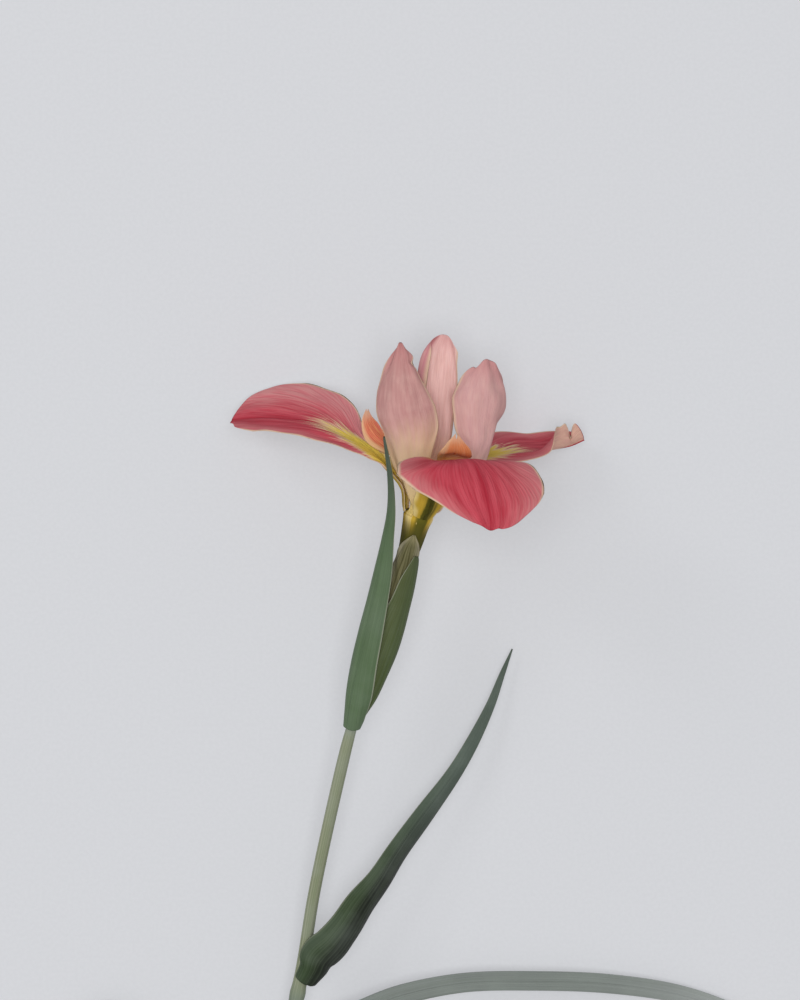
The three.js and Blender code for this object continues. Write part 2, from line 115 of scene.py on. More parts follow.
def skin(form, u, v):
    """Points and normals of a blade's middle surface at u along it and v across it, and the
    place t on its midrib."""
    at, face, half, fold, curl, roll = ([r[k] for r in form["ribs"]] for k in range(6))
    trim = form.get("round", 0) * (1 - np.sqrt(np.clip(1 - v * v, 0, 1)))
    trim = trim + form.get("notch", 0) * bell(v, 0, 0.16)
    for where, spread, depth in form.get("nicks", []):
        trim = trim + depth * bell(v, where, spread)
    t = u * (1 - trim)
    right = v > 0

    def halves(values):
        both = through(values, t)
        return np.where(right, both[..., 1], both[..., 0])

    along = direction(at, t)
    across = unit(np.cross(through(face, t), along))
    up = np.cross(along, across)
    width = halves(half) * np.abs(v)
    for side, where, spread, more in form.get("lobes", []):
        bulge = more * np.abs(v) ** 2 * bell(t, where, spread)
        width = width + np.where(right == (side > 0), bulge, 0)
    folds, curls, rolls = (np.radians(halves(values)) for values in (fold, curl, roll))
    roll_from = form.get("roll_from", ROLL_FROM)

    def angle(a):
        return folds + curls * a + rolls * smooth((a - roll_from) / (1 - roll_from))

    out = np.zeros_like(width)
    rise = np.zeros_like(width)
    for k in range(SLOPE_STEPS):
        slope = angle(np.abs(v) * (k + 0.5) / SLOPE_STEPS)
        out += np.cos(slope) * width / SLOPE_STEPS
        rise += np.sin(slope) * width / SLOPE_STEPS
    way = np.where(v < 0, -1.0, 1.0)
    tilt = angle(np.abs(v))
    points = through(at, t) + across * (way * out)[..., None] + up * rise[..., None]
    normals = up * np.cos(tilt)[..., None] - across * (way * np.sin(tilt))[..., None]
    return points, normals, t


def fan(t, v, pivot):
    """The angle of the vein that passes t, v."""
    return np.arctan2(v * VEIN_SPREAD, np.maximum(t - pivot, VEIN_START) * VEIN_REACH)


def relief(form, t, v, rng):
    """How far the fine surface stands off the blade's smooth one, in millimetres."""
    height = np.zeros_like(t)
    edge = np.abs(v) ** 3 * smooth((t - 0.15) * 4)
    for waves, size, phase in form.get("ruffle", []):
        height += size * edge * np.sin(2 * math.pi * (waves * t + phase + np.where(v > 0, 0.37, 0.0)))
    for waves_along, waves_across, size in form.get("crinkle", []):
        bend = np.sin(3 * t + 2 * v + rng.uniform(0, 2 * math.pi))
        slant = waves_along * t + waves_across * v + bend
        height += size * smooth(t * 4) * np.sin(slant + rng.uniform(0, 2 * math.pi))
    count, size, pivot = form.get("veins", (0, 0, 0))
    if count:
        height += size * smooth(t * 5) * (1 - v**8) * np.cos(count * fan(t, v, pivot))
    height += form.get("keel", 0) * bell(v, 0, 0.05) * (1 - t)
    return height


def blade_mesh(name, form, thickness, rows, columns):
    """A closed blade: two skins that meet all round the outline. The petal attribute holds the
    place along the midrib, v and which skin it is: 0 for the inner one and 1 for the outer."""
    own_seed = len(name) * 7 + sum(map(ord, name))
    rng = np.random.default_rng(own_seed)
    u, v = np.meshgrid(np.linspace(0, 1, rows + 1), np.linspace(-1, 1, columns + 1), indexing="ij")
    points, normals, t = skin(form, u, v)
    points = points + normals * relief(form, t, v, rng)[..., None]
    inside = np.zeros_like(u, bool)
    inside[1:-1, 1:-1] = True
    to_margin = np.where(inside, MARGIN_SHARE + (1 - MARGIN_SHARE) * (1 - v**4), 0)
    to_tip = TIP_SHARE + (1 - TIP_SHARE) * smooth((1 - t) * 3)
    half_thickness = (thickness / 2 * to_margin * to_tip)[..., None]
    top = (points + normals * half_thickness).reshape(-1, 3)
    bottom = (points - normals * half_thickness)[inside]
    top_index = np.arange(u.size).reshape(u.shape)
    bottom_index = top_index.copy()
    bottom_index[inside] = u.size + np.arange(inside.sum())

    def quads(index, turned):
        corners = [index[:-1, :-1], index[1:, :-1], index[1:, 1:], index[:-1, 1:]]
        if turned:
            corners.reverse()
        return np.stack(corners, -1).reshape(-1, 4)

    faces = np.vstack([quads(top_index, False), quads(bottom_index, True)]).tolist()
    marks = np.stack([t, v, np.zeros_like(u)], -1)
    under = marks[inside] + [0, 0, 1]
    return build_mesh(name, np.vstack([top, bottom]), faces, np.vstack([marks.reshape(-1, 3), under]))


def build_mesh(name, points, faces, marks):
    """A mesh in the shared frame, with the marks in its petal attribute for the material."""
    mesh = bpy.data.meshes.new(name)
    mesh.from_pydata(((points + ORIGIN) * MILLIMETRE).tolist(), [], faces)
    attribute = mesh.attributes.new("petal", "FLOAT_VECTOR", "POINT")
    attribute.data.foreach_set("vector", np.ascontiguousarray(marks, dtype=np.float32).ravel())
    mesh.shade_smooth()
    mesh.validate()
    return mesh


# ---- rods: stem, tube and stamens ----------------------------------------------------------------

def rod_points(places, t, turn, shape=None):
    """Points on the skin of a round rod through x, y, z, radius places; shape(t, turn) may change
    the radius."""
    places = np.asarray(places, float)
    along = direction(places[:, :3], t)
    across = unit(np.cross(np.array([0.0, 0.0, 1.0]), along))
    up = np.cross(along, across)
    radius = through(places[:, 3:], t)[..., 0]
    if shape:
        radius = radius * shape(t, turn)
    outward = across * np.cos(turn)[..., None] + up * np.sin(turn)[..., None]
    return through(places[:, :3], t) + outward * radius[..., None]


def ring_grid(rows, sides):
    """The place along a rod and the turn round it, for each point of its skin."""
    turns = np.arange(sides) * 2 * math.pi / sides
    return np.meshgrid(np.linspace(0, 1, rows + 1), turns, indexing="ij")


def rod_mesh(name, places, rows, sides, shape=None):
    """A closed round rod. The petal attribute holds the place along it and the turn round it as a
    direction."""
    t, turn = ring_grid(rows, sides)
    points = rod_points(places, t, turn, shape)
    ends = points[[0, -1]].mean(axis=1)
    index = np.arange(t.size).reshape(t.shape)
    beside = np.roll(index, -1, axis=1)
    faces = np.stack([index[:-1], beside[:-1], beside[1:], index[1:]], -1).reshape(-1, 4).tolist()
    foot, tip = t.size, t.size + 1
    faces += [[foot, b, a] for a, b in zip(index[0], beside[0])]
    faces += [[tip, a, b] for a, b in zip(index[-1], beside[-1])]
    marks = np.stack([t, np.cos(turn), np.sin(turn)], -1).reshape(-1, 3)
    marks = np.vstack([marks, [[0, 0, 0], [1, 0, 0]]])
    return build_mesh(name, np.vstack([points.reshape(-1, 3), ends]), faces, marks)


# ---- forms ---------------------------------------------------------------------------------------

def stem_height(y):
    """Height of the stem's centre: from resting on its cut end up to the heart of the flower."""
    return STEM_RADIUS + 0.3 + (HEART_HEIGHT - STEM_RADIUS - 0.3) * (1 - y / CUT_END[1])


def stem_place(x, y, radius):
    """A place on the stem, at the height that it has there."""
    return (x, y, stem_height(y), radius)


STEM = [
    stem_place(*CUT_END, STEM_RADIUS + 0.2),
    stem_place(-46, -203, STEM_RADIUS + 0.15),
    stem_place(-36.9, -162, STEM_RADIUS + 0.2),
    stem_place(-34.7, -150, STEM_RADIUS - 0.1),
    stem_place(-31.7, -131, STEM_RADIUS - 0.2),
    stem_place(-28, -112.8, STEM_RADIUS - 0.2),
    stem_place(-22.6, -89, STEM_RADIUS - 0.2),
    stem_place(-19.7, -77.6, STEM_RADIUS - 0.4),
]

# The collar is the ring at the top of the tube where the six petals start.
COLLAR = np.array([0.1, -14.6, HEART_HEIGHT - 1.4])
COLLAR_RADIUS = 5.2
AXIS = unit(np.array([0.26, 0.93, 0.24]))  # the way the flower looks, a little up from the table
ACROSS = -unit(np.cross([0.0, 0.0, 1.0], AXIS))  # to the right
UPWARD = unit(np.cross(ACROSS, AXIS))  # away from the table


def collar_rib(angle, arc, rise=0, flare=0):
    """A rib on the collar at an angle from the right, counted upwards, that wraps the given arc to
    each side. It can be on a wider or narrower ring (flare) further along the flower's axis
    (rise)."""
    outward = ACROSS * math.cos(math.radians(angle)) + UPWARD * math.sin(math.radians(angle))
    radius = COLLAR_RADIUS + flare
    return rib(COLLAR + AXIS * rise + outward * radius, -outward, math.radians(arc) * radius, 0, arc)


TUBE = [
    [-18.6, -76, 27.0, 1.1],
    [-15.6, -65, 28.9, 2.0],
    [-12.0, -53, 30.6, 2.3],
    [-8.2, -41, 32.4, 2.1],
    [-4.8, -31.5, 34.0, 2.5],
    [-2.4, -24, 35.2, 3.2],
    [-0.8, -17.9, 35.8, 3.9],
    [0, -15.1, 36.5, 4.5],
]

# The tube goes on a little inside the ring of petal feet, which closes the flower's throat.
THROAT = [
    [0.1, -14.7, 36.6, 4.3],
    [0.3, -14, 36.8, 3.9],
]

FALL_LEFT = {
    "round": 0.2,
    "ribs": [
        collar_rib(190, 36, 0, -0.7),
        collar_rib(190, 36, 1.4, -0.2),
        collar_rib(188, 34, 6, 1.6),
        rib([-8.6, -1.6, 36.4], [0.7, 0.6, 0.34], 3.6, 10, 20),
        rib([-12.6, 3.2, 35.6], [0.45, 0.8, 0.38], [3.6, 4.2], [8, 0]),
        rib([-19, 7.6, 33], [0.1, 0.9, 0.42], [5.4, 8], [8, 0]),
        rib([-29, 12.2, 26], [0, 0.9, 0.42], [14.4, 12.4], [14, 8], [-2, -4]),
        rib([-40, 14, 18.6], [-0.05, 0.9, 0.42], [19, 15.5], [18, 12], [-12, -6]),
        rib([-50, 14.4, 13.8], [-0.15, 0.9, 0.4], [18.4, 15.5], [18, 18], [-16, -6]),
        rib([-56.6, 13.8, 11.8], [-0.2, 0.88, 0.4], [14, 12], [14, 18], [-10, -4]),
    ],
}

FALL_FRONT = {
    "round": 0.2,
    "ribs": [
        collar_rib(66, 44, 0, -0.7),
        collar_rib(66, 46, 2, 0.2),
        collar_rib(67, 46, 5, 1.4),
        collar_rib(70, 42, 8.8, 1.9),
        rib([4.4, -4, 46.6], [-0.1, 0.9, -0.4], 4.4, 0, 36),
        rib([7, 0.4, 52.4], [0, 0.97, -0.2], 4.2, 0, 16),
        rib([11, 1.2, 60], [0, 1, 0], [19.2, 11.5], [-2, -4], [0, -6]),
        rib([15.4, 0.8, 67.4], [0.04, 0.92, 0.38], [24.4, 18], [0, -6], [0, -8]),
        rib([18, -4, 73], [0.06, 0.72, 0.68], [20, 19.5], [-2, -8], [0, -10]),
        rib([19.6, -10.4, 76.4], [0.05, 0.5, 0.86], [12.6, 17.6], [0, -6], [0, -12]),
        rib([20.6, -16.2, 78.2], [0, 0.35, 0.93], [6, 11.4], [4, -4], [0, -10]),
        rib([20.6, -19, 78.8], [0, 0.3, 0.95], [3, 6], [6, -2]),
    ],
}

FALL_RIGHT = {
    "round": 0.05,
    "ribs": [
        collar_rib(-50, 38, 0, -0.7),
        collar_rib(-50, 38, 1.4, -0.2),
        collar_rib(-48, 36, 5, 1.8),
        rib([9.4, -1.2, 31], [-0.3, 0.9, 0.2], 3.6, 8, 10),
        rib([17, 2.4, 27], [0, 0.92, 0.38], [6, 6.5], [8, 0]),
        rib([26, 4, 22], [0, 0.92, 0.38], [10, 16], [2, 0]),
        rib([33.4, 4.8, 16], [0, 0.93, 0.38], [12.6, 18.5], [12, 0], [20, 0]),
        rib([40, 5, 12.6], [0.05, 0.93, 0.36], [9.6, 14.5], [42, 0], [56, 0]),
        rib([46, 6, 10.2], [0.05, 0.92, 0.38], [5.2, 9], [70, 10], [20, 4]),
        rib([50.8, 8, 8.8], [0, 0.92, 0.4], [5.6, 3.4], [80, 30]),
    ],
}

STANDARD_LEFT = {
    "round": 0.1,
    "ribs": [
        collar_rib(131, 15, 0, -0.7),
        collar_rib(129, 21, 2.4, -1.5),
        collar_rib(128, 40, 6, 0),
        rib([-2.6, 0.4, 43.6], [0.3, 0.05, -0.95], [7.6, 6.4], 10, 36),
        rib([-4, 9, 46.6], [0.3, 0, -0.95], [9.4, 11], 8, [42, 54]),
        rib([-5.4, 16, 47.8], [0.3, -0.1, -0.95], [11, 11.6], 8, [50, 58]),
        rib([-5.8, 23, 47.2], [0.3, -0.2, -0.95], [10.8, 9.4], 8, 56),
        rib([-5.6, 29.6, 45.6], [0.3, -0.3, -0.95], [7.4, 5.6], 8, 50),
        rib([-5.4, 36.6, 43], [0.3, -0.35, -0.95], 1.2, 8, 30),
    ],
}

STANDARD_RIGHT = {
    "round": 0.14,
    "ribs": [
        collar_rib(3, 20, 1.6, -1.2),
        collar_rib(3, 11, 7, 2.2),
        rib([16, -1, 40.4], [-0.5, 0.2, -0.85], 3.6, 6, 30),
        rib([19, 6, 41.8], [-0.5, 0, -0.86], [7.2, 6], 8, 46),
        rib([19.6, 13, 42.6], [-0.44, -0.05, -0.9], [10, 9], 8, 56),
        rib([20.6, 20, 42.4], [-0.4, -0.15, -0.9], [11.6, 11.4], 8, 58),
        rib([20.8, 26, 41.2], [-0.36, -0.25, -0.9], [9, 8.4], 8, 54),
        rib([21, 31.6, 39.6], [-0.3, -0.3, -0.9], [4.6, 4.6], 8, 40),
    ],
}

STANDARD_BACK = {
    "round": 0.16,
    "roll_from": 0.35,
    "ribs": [
        collar_rib(250, 14, 0, -0.7),
        collar_rib(250, 30, 2.4, -1.5),
        collar_rib(254, 30, 6, 0),
        rib([4.8, 4, 29.4], [0, -0.2, 1], 4.6, 8, 30, [10, 0]),
        rib([6.2, 12, 29.6], [0, -0.05, 1], [6, 9.4], 8, [40, 44], [30, 20]),
        rib([6.2, 21, 30.4], [0, 0, 1], [7, 12.6], 8, [40, 26], [30, 130]),
        rib([6.8, 29, 31.4], [0, 0.08, 1], [7.2, 12.4], 8, [40, 26], [30, 144]),
        rib([7.4, 35, 32.4], [0, 0.14, 1], [5.6, 8.8], 8, [30, 22], [20, 124]),
        rib([8.2, 39.2, 33.4], [0, 0.2, 1], [3, 3.2], 8, 20),
    ],
}

STYLE_LEFT = {
    "round": 0.5,
    "notch": 0.06,
    "ribs": [
        rib([1.2, -6, 37], [0.5, 0.8, 0.2], 1.4, -4, -30),
        rib([-3.4, 1, 37.2], [0.6, 0.75, 0], 2, -4, -26),
        rib([-8.8, 5.8, 37.4], [0.6, 0.6, -0.5], 3.6, -4, -14),
        rib([-13, 9.8, 36.6], [0.5, 0.4, -0.8], 4, -4, -14),
        rib([-15, 13.6, 35.4], [0.4, 0.3, -0.85], 2.6, -4, -10),
        rib([-15.2, 17.4, 34.8], [0.3, 0.1, -0.95], 0.9),
    ],
}

STYLE_FRONT = {
    "round": 0.4,
    "notch": 0.12,
    "ribs": [
        rib([3.2, -6, 39.4], [-0.3, 0.9, -0.4], 1.4, -4, -30),
        rib([7, 1.4, 45], [-0.2, 0.85, -0.5], 2.4, -4, -30),
        rib([9.6, 3.2, 51.2], [0, 0.98, -0.2], 4.4, -4, -22),
        rib([10.8, 3.8, 56.4], [0, 0.8, -0.6], 5, -4, -10),
        rib([11, 6.4, 59], [0, 0.4, -0.9], 3.2, -4, -4),
        rib([11.2, 9.6, 60], [0, 0.2, -0.95], 0.8),
    ],
}

STYLE_RIGHT = {
    "round": 0.2,
    "notch": 0.2,
    "ribs": [
        rib([4, -5, 36], [-0.3, 0.9, 0.3], 1.4, -4, -30),
        rib([8.4, 2.2, 35], [-0.4, 0.85, 0.3], 2.2, -4, -30),
        rib([14, 5.6, 32.4], [-0.3, 0.9, 0.2], 3, -4, -20),
        rib([18.4, 8, 30], [-0.7, 0.6, 0.3], 4, -4, -16),
        rib([20.8, 11.6, 28.6], [-0.8, 0.3, 0.5], 3.6, -4, -10),
        rib([21.8, 15.6, 28], [-0.8, 0.1, 0.6], 1.8),
    ],
}


def stamen(foot, knee, tip):
    """A thin filament that ends in a longer, fatter anther, under its style arm."""
    a, b, c = (np.array(place, float) for place in (foot, knee, tip))
    places = [
        (a, 0.36),
        (a + 0.6 * (b - a), 0.32),
        (b, 0.32),
        (b + 0.2 * (c - b), 0.65),
        (b + 0.8 * (c - b), 0.7),
        (c, 0.25),
    ]
    return [(*place, radius) for place, radius in places]


STAMENS = {
    "stamen_left": stamen([-1, -8, 36.4], [-5, -1.6, 36], [-10.2, 3.4, 35.3]),
    "stamen_front": stamen([2.2, -8, 39.4], [5.6, -0.9, 45.8], [8.3, 1.4, 51]),
    "stamen_right": stamen([3.4, -8, 34.6], [9, 0.6, 32.8], [17.2, 4.8, 28.6]),
}


# ---- sheaths and leaves --------------------------------------------------------------------------

def wrap_rib(centre, radius, turn, arcs):
    """A rib that wraps round a centre. Its midrib is turned from straight up, to the right where
    positive, and its arcs reach that far down on the left and on the right of the midrib, all in
    degrees."""
    outward = np.array([math.sin(math.radians(turn)), 0.0, math.cos(math.radians(turn))])
    half = [math.radians(arc) * radius for arc in arcs]
    return rib(np.array(centre, float) + outward * radius, -outward, half, 0, arcs)


OUTER_SPATHE = {
    "ribs": [
        wrap_rib([-19.9, -78.8, 26.6], 2.35, -45, [150, 150]),
        wrap_rib([-18.7, -75, 27.6], 3.2, -45, [140, 108]),
        wrap_rib([-16.4, -68, 29.1], 4.8, -45, [130, 80]),
        wrap_rib([-13.9, -58.5, 30.8], 5.7, -45, [125, 63]),
        wrap_rib([-11.9, -49, 32.2], 5.5, -45, [122, 61]),
        wrap_rib([-10.1, -40, 33.7], 4.8, -45, [120, 60]),
        wrap_rib([-8.7, -31, 35.8], 3.9, -45, [110, 61]),
        wrap_rib([-7.8, -22, 38.4], 2.75, -45, [95, 58]),
        wrap_rib([-6.9, -13, 40.8], 2.2, -45, [80, 50]),
        wrap_rib([-7.5, -3, 42.8], 1.6, -45, [60, 45]),
        wrap_rib([-9.8, 8.6, 44.6], 0.5, -45, [40, 40]),
    ],
}

INNER_SPATHE = {
    "ribs": [
        wrap_rib([-18.4, -75.4, 27.2], 1.95, 45, [120, 120]),
        wrap_rib([-15.1, -68, 28.7], 3.3, 45, [100, 120]),
        wrap_rib([-12.2, -58.5, 30.1], 4.6, 45, [95, 120]),
        wrap_rib([-9.4, -49, 31.4], 5, 45, [85, 120]),
        wrap_rib([-7, -40.6, 32.8], 4.8, 45, [60, 116]),
        wrap_rib([-5, -33.6, 34.2], 4.2, 45, [46, 100]),
        wrap_rib([-2.9, -27, 36], 3.2, 45, [12, 24]),
    ],
}

PAPERY_BRACT = {
    "ribs": [
        wrap_rib([-7.9, -43, 32.2], 2.9, 0, [70, 80]),
        wrap_rib([-5.9, -35.4, 33.5], 3.05, 0, [76, 70]),
        wrap_rib([-4, -29.2, 34.5], 3.3, 0, [76, 72]),
        wrap_rib([-2.7, -24.4, 35.4], 3.8, 0, [44, 58]),
        wrap_rib([-1.6, -20.6, 36], 4.2, 6, [4, 6]),
    ],
}


def sheath_rib(x, y, radius, to_stem, curl):
    """The foot of a leaf, which wraps the stem from the side that the leaf leaves on. to_stem is
    the way from there to the stem's middle."""
    at = np.array([x, y, stem_height(y)]) - unit(np.array(to_stem)) * radius
    return rib(at, to_stem, math.radians(curl) * radius, 0, curl)


STEM_LEAF = {
    "ribs": [
        wrap_rib([-35, -157.2, 15.2], 3.4, 30, [96, 140]),
        wrap_rib([-32.7, -153.2, 15.8], 4.6, 24, [82, 130]),
        rib([-28.8, -149.4, 21.4], [-0.3, 0, -0.95], [8.2, 8.2], 0, [64, 96]),
        rib([-24.8, -144.8, 22.6], [-0.3, 0.1, -0.95], [7.2, 8.4], 0, [40, 90]),
        rib([-21, -139.4, 21.2], [-0.3, 0.2, -0.93], [6.2, 8.4], 0, [34, 84]),
        rib([-16.8, -132.4, 20], [-0.35, 0.2, -0.9], [5.4, 8.2], 0, [32, 76]),
        rib([-11.6, -125, 18.4], [-0.35, 0.2, -0.9], [4, 7.2], 0, [30, 66]),
        rib([-6, -116.3, 16.4], [-0.35, 0.2, -0.9], [3.4, 5.8], 0, [30, 56]),
        rib([1.7, -105.8, 14], [-0.3, 0.15, -0.93], [3, 4.6], 4, [24, 40]),
        rib([10.8, -93.8, 11.4], [-0.3, 0.1, -0.95], [2.5, 3], 8, [12, 24]),
        rib([17, -83.3, 9], [-0.3, 0.1, -0.95], [2, 2.3], 10),
        rib([22.2, -72.8, 6.6], [-0.25, 0.1, -0.95], [1.4, 1.6], 10),
        rib([25.8, -63.7, 4.8], [-0.2, 0.1, -0.95], 0.95, 10),
        rib([29, -55.8, 3.2], [-0.2, 0.1, -0.95], 0.25, 8),
    ],
}

LOWER_LEAF_RIGHT = {
    "ribs": [
        sheath_rib(-41.8, -184, STEM_RADIUS + 1.3, [-0.8, 0.1, -0.5], 155),
        sheath_rib(-40.4, -178, STEM_RADIUS + 1.8, [-0.95, 0.2, -0.1], 132),
        rib([-30.6, -171.6, 12], [-0.5, 0.6, 0.6], 5, 0, 70),
        rib([-20, -167, 11], [-0.2, 0.3, 0.9], 3.6, 8, 20),
        rib([-5, -161, 9.6], [0, 0.15, 1], 3.2, 8),
        rib([14, -157.4, 8.2], [0, 0.1, 1], 3, 8),
        rib([35, -157, 6.6], [0, 0.05, 1], 3, 8),
        rib([58, -158, 5], [0, 0, 1], 3, 8),
        rib([80, -161.4, 3.4], [0, 0, 1], 2.8, 8),
        rib([99, -168, 2.2], [0, 0, 1], 2.2, 8),
        rib([114, -177.4, 1.4], [0, 0, 1], 1.2, 8),
        rib([121, -183.4, 1.2], [0, 0, 1], 0.4, 8),
    ],
}

LOWER_LEAF_LEFT = {
    "ribs": [
        sheath_rib(-48.6, -216, STEM_RADIUS + 1.6, [0.8, 0.1, -0.5], 155),
        sheath_rib(-47.4, -210.5, STEM_RADIUS + 3.0, [0.95, 0.2, -0.1], 104),
        rib([-54.6, -201, 8], [0.5, 0.6, 0.6], 5, 0, 70),
        rib([-66, -188, 6.6], [0.2, 0.2, 0.95], 3.5, 8, 20),
        rib([-79, -174.4, 5.4], [0, 0.1, 1], 3, 8),
        rib([-93, -167, 4.2], [0, 0, 1], 2.8, 8),
        rib([-104.4, -171.6, 3], [0, 0, 1], 2.6, 8),
        rib([-111.6, -187, 1.8], [0, 0, 1], 1.9, 8),
        rib([-116, -207, 1.2], [0, 0, 1], 0.4, 8),
    ],
}


# ---- the working origin --------------------------------------------------------------------------

CAD_STEM_GRID = (30, 12)  # rows and sides of the stem's solid in the part's own source

# The working origin in the shared frame, from where the stem's box lies in both.
stem_box = rod_points(STEM, *ring_grid(*CAD_STEM_GRID)).reshape(-1, 3)
frame_middle = (np.array(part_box("stem")[0]) + np.array(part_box("stem")[1])) / 2 / MILLIMETRE
ORIGIN = frame_middle - (stem_box.min(axis=0) + stem_box.max(axis=0)) / 2


# ---- surface detail ------------------------------------------------------------------------------

# Relief, nicks and lobes that only the visible piece has, as a part of its form:
# ruffle: waves along the margin, height, and where the first one starts
# crinkle: waves along, waves across, height
# veins: how close they are, height, pivot
# nicks: place across the tip, spread, depth
# lobes: side (-1 left, 1 right), place along the margin, spread, added width
# keel: height of the ridge along the midrib
FALL_DETAIL = {"veins": (30, 0.04, 0.2), "crinkle": [(34, 9, 0.05), (19, -12, 0.08), (8, 7, 0.15)]}
STANDARD_DETAIL = {"crinkle": [(44, 6, 0.05), (24, -9, 0.1), (12, 8, 0.18), (5, -5, 0.25)]}
STYLE_DETAIL = {"crinkle": [(12, 6, 0.08)], "keel": 0.2}
LEAF_DETAIL = {"crinkle": [(14, 2, 0.1)], "keel": 0.35}
BRACT_DETAIL = {"crinkle": [(20, 8, 0.15)]}

FALL_LEFT_MARGIN = {"ruffle": [(5, 0.3, 0.1), (11, 0.15, 0.6)]}
FALL_FRONT_MARGIN = {"ruffle": [(4, 0.3, 0.3), (9, 0.15, 0.1)], "nicks": [(0.3, 0.12, 0.02)]}
FALL_RIGHT_MARGIN = {
    "ruffle": [(3, 0.2, 0.5)],
    "lobes": [(-1, 0.855, 0.032, 2.8), (-1, 0.965, 0.045, 2.6), (-1, 0.905, 0.012, -3.0)],
}
STANDARD_LEFT_MARGIN = {"lobes": [(1, 0.94, 0.024, 0.9), (1, 0.895, 0.015, -1.0)]}
STANDARD_BACK_MARGIN = {"ruffle": [(4, 0.25, 0.2)]}
STANDARD_RIGHT_MARGIN = {"nicks": [(-0.55, 0.16, 0.04)]}

BLADES = {
    "fall_left": {**FALL_LEFT, **FALL_DETAIL, **FALL_LEFT_MARGIN},
    "fall_front": {**FALL_FRONT, **FALL_DETAIL, **FALL_FRONT_MARGIN},
    "fall_right": {**FALL_RIGHT, **FALL_DETAIL, **FALL_RIGHT_MARGIN},
    "standard_left": {**STANDARD_LEFT, **STANDARD_DETAIL, **STANDARD_LEFT_MARGIN},
    "standard_back": {**STANDARD_BACK, **STANDARD_DETAIL, **STANDARD_BACK_MARGIN},
    "standard_right": {**STANDARD_RIGHT, **STANDARD_DETAIL, **STANDARD_RIGHT_MARGIN},
    "style_arm_left": {**STYLE_LEFT, **STYLE_DETAIL},
    "style_arm_front": {**STYLE_FRONT, **STYLE_DETAIL},
    "style_arm_right": {**STYLE_RIGHT, **STYLE_DETAIL},
    "outer_spathe": {**OUTER_SPATHE, **LEAF_DETAIL},
    "inner_spathe": {**INNER_SPATHE, **LEAF_DETAIL},
    "papery_bract": {**PAPERY_BRACT, **BRACT_DETAIL},
    "stem_leaf": {**STEM_LEAF, **LEAF_DETAIL},
    "lower_leaf_right": {**LOWER_LEAF_RIGHT, **LEAF_DETAIL},
    "lower_leaf_left": {**LOWER_LEAF_LEFT, **LEAF_DETAIL},
}


def stem_shape(t, turn):
    """The stem's fine ribs, and a slight swelling where the stem leaf leaves it."""
    swelling = 0.1 * bell(t, 0.3, 0.012)
    return 1 + 0.02 * np.cos(9 * turn + 2 * t) + swelling


def tube_shape(t, turn):
    """Six shallow ribs run up the tube."""
    return 1 + 0.04 * np.cos(6 * turn) * bell(t, 0.55, 0.2)


# ---- colours -------------------------------------------------------------------------------------

def colour(red, green, blue):
    """A colour given as 0 to 255 on a screen, as the shader's linear one."""
    parts = [value / 255 for value in (red, green, blue)]
    return (*(p / 12.92 if p <= 0.04045 else ((p + 0.055) / 1.055) ** 2.4 for p in parts), 1.0)


# falls
CREAM = colour(222, 194, 166)
CRIMSON = colour(202, 76, 90)
DEEP_CRIMSON = colour(168, 34, 52)
ROSE = colour(212, 112, 122)
PALE_ROSE = colour(214, 152, 150)
PEACH = colour(226, 184, 162)
YELLOW = colour(226, 198, 84)
FOOT_CREAM = colour(224, 200, 132)
GOLD = colour(188, 156, 54)
OLIVE = colour(92, 88, 26)

# standards
LEFT_STANDARD = colour(196, 146, 142)
# Painted light: the back standard's rose is far paler than the other two standards', so that it looks
# lit where it lies in the shade of its neighbours.
BACK_STANDARD_PAINTED_LIGHT = colour(252, 216, 210)
BACK_FOLDED_OVER = colour(206, 140, 148)
RIGHT_STANDARD = colour(212, 166, 164)
RIGHT_FOLDED_OVER = colour(210, 162, 160)
STANDARD_LIGHT_LINE = colour(226, 180, 172)
STANDARD_VEIN = colour(190, 116, 120)
STANDARD_WRINKLE = colour(228, 188, 178)
STANDARD_TIP = colour(196, 118, 122)
# The standards' feet: their own cream and gold, made lighter as painted light against the shade round
# the flower's heart.
STANDARD_CREAM_FOOT_AND_PAINTED_LIGHT = colour(230, 200, 160)
STANDARD_GOLD_FOOT_AND_PAINTED_LIGHT = colour(234, 208, 130)

# style arms
SHADED_ORANGE = colour(208, 98, 82)
OPEN_ORANGE = colour(224, 138, 84)
STYLE_VEIN = colour(228, 154, 108)
STYLE_CREST = colour(232, 194, 150)
STYLE_TIP = colour(228, 188, 158)
# Painted light at the foot of each style arm: a paler orange over the arm's own orange, lifting the
# shade under the arm.
STYLE_ARM_FOOT_AND_PAINTED_LIGHT = colour(246, 184, 104)

# stamens
FILAMENT = colour(222, 208, 170)
ANTHER = colour(206, 184, 120)
POLLEN = colour(232, 218, 176)

# tube, bract and stem
TUBE_FOOT = colour(76, 72, 24)
TUBE_MIDDLE = colour(78, 78, 34)
PAPER_VEIN = colour(80, 78, 48)
PAPER = colour(126, 122, 88)
PAPER_MARGIN = colour(172, 166, 140)
PAPER_TIP = colour(172, 164, 124)
STEM_LINE = colour(118, 126, 98)
STEM_GREEN = colour(142, 146, 122)
STEM_BLOOM = colour(152, 158, 146)
STEM_NECK = colour(140, 148, 138)
STEM_FOOT = colour(106, 120, 110)

# leaves and sheaths
SHEATH = colour(84, 106, 74)
SHEATH_TIP = colour(66, 76, 64)
INNER_SHEATH = colour(72, 82, 40)
INNER_SHEATH_RIGHT = colour(74, 88, 46)
